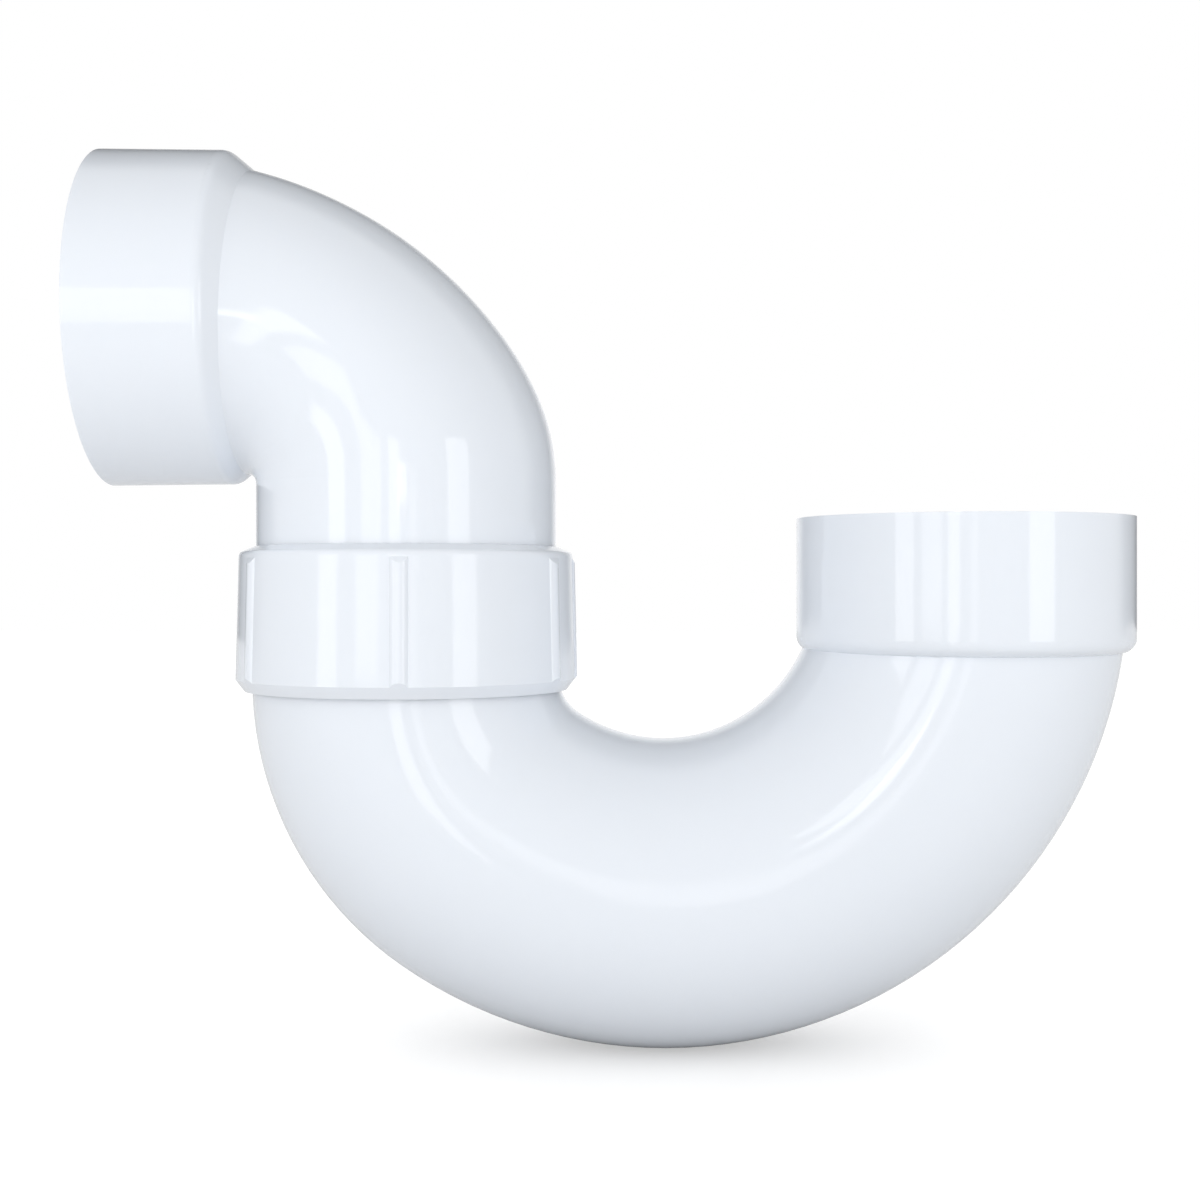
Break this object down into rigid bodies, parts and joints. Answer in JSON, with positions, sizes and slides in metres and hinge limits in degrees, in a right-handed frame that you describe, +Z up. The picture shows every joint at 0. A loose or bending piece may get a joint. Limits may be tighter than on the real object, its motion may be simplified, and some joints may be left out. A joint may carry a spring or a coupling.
{
  "type": "drain trap",
  "caption": "White moulded drain trap: a U-shaped return bend with an upward inlet socket, joined by a ribbed union nut to an elbow with a sideways outlet socket.",
  "frame": {"origin": "centre of the pipe stop at the bottom of the inlet socket, on the socket's axis", "axes": "+Z up out of the inlet socket, -X the way the outlet socket faces, -Y the side that the picture shows"},
  "size_m": [0.2085, 0.0702, 0.1823],
  "materials": {
    "pipe_pvc": "glossy white, moulded",
    "nut_pvc": "glossy white, moulded",
    "washer_rubber": "matt black"
  },
  "bodies": {
    "bend": {"return_bend": "pipe_pvc"},
    "seal": {"sealing_washer": "washer_rubber"},
    "arm": {"trap_arm": "pipe_pvc", "flange_ring": "pipe_pvc"},
    "nut": {"union_nut": "nut_pvc"}
  },
  "joints": [
    {"name": "union_lift", "type": "slide", "parent": "bend", "child": "seal", "axis": [0, 0, 1], "range_m": [0, 0.0096]},
    {"name": "arm_swivel", "type": "hinge", "parent": "seal", "child": "arm", "pos_m": [-0.114, 0, 0.00556], "axis": [0, 0, 1], "continuous": true},
    {"name": "nut_turn", "type": "hinge", "parent": "seal", "child": "nut", "pos_m": [-0.114, 0, 0.00556], "axis": [0, 0, 1], "range_deg": [0, 1080]}
  ],
  "couplings": [
    {"joint": "nut_turn", "follows": "union_lift", "rad_per_m": 1963.5}
  ]
}
